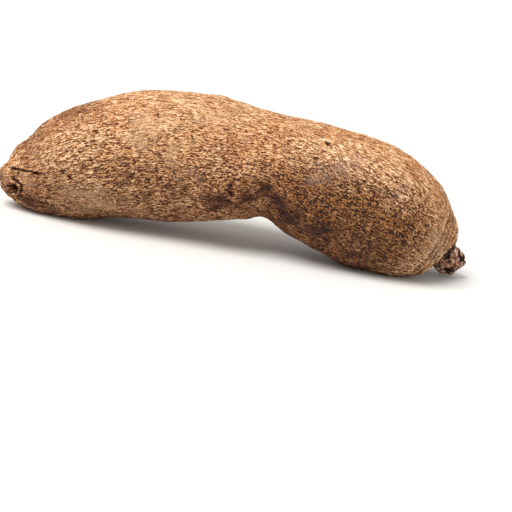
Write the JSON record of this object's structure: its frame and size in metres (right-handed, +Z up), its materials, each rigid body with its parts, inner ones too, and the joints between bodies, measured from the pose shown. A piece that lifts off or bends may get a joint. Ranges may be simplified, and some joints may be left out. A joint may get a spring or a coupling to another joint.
{
  "type": "yam tuber",
  "caption": "Whole yam: a thick, slightly bent corky root tuber with a blunt withered tip and a woody crown stump, lying on its side.",
  "frame": {"origin": "centre of the tuber's footprint, on the surface that it lies on", "axes": "+X along the tuber from the withered tip to the woody crown stump, +Z up, -Y the side it is looked at from"},
  "size_m": [0.321, 0.0918, 0.0961],
  "materials": {
    "corky_skin": "rough corky tan-brown skin, matte, with fine cracks along the tuber"
  },
  "bodies": {
    "root": {"yam_tuber": "corky_skin"}
  },
  "joints": []
}
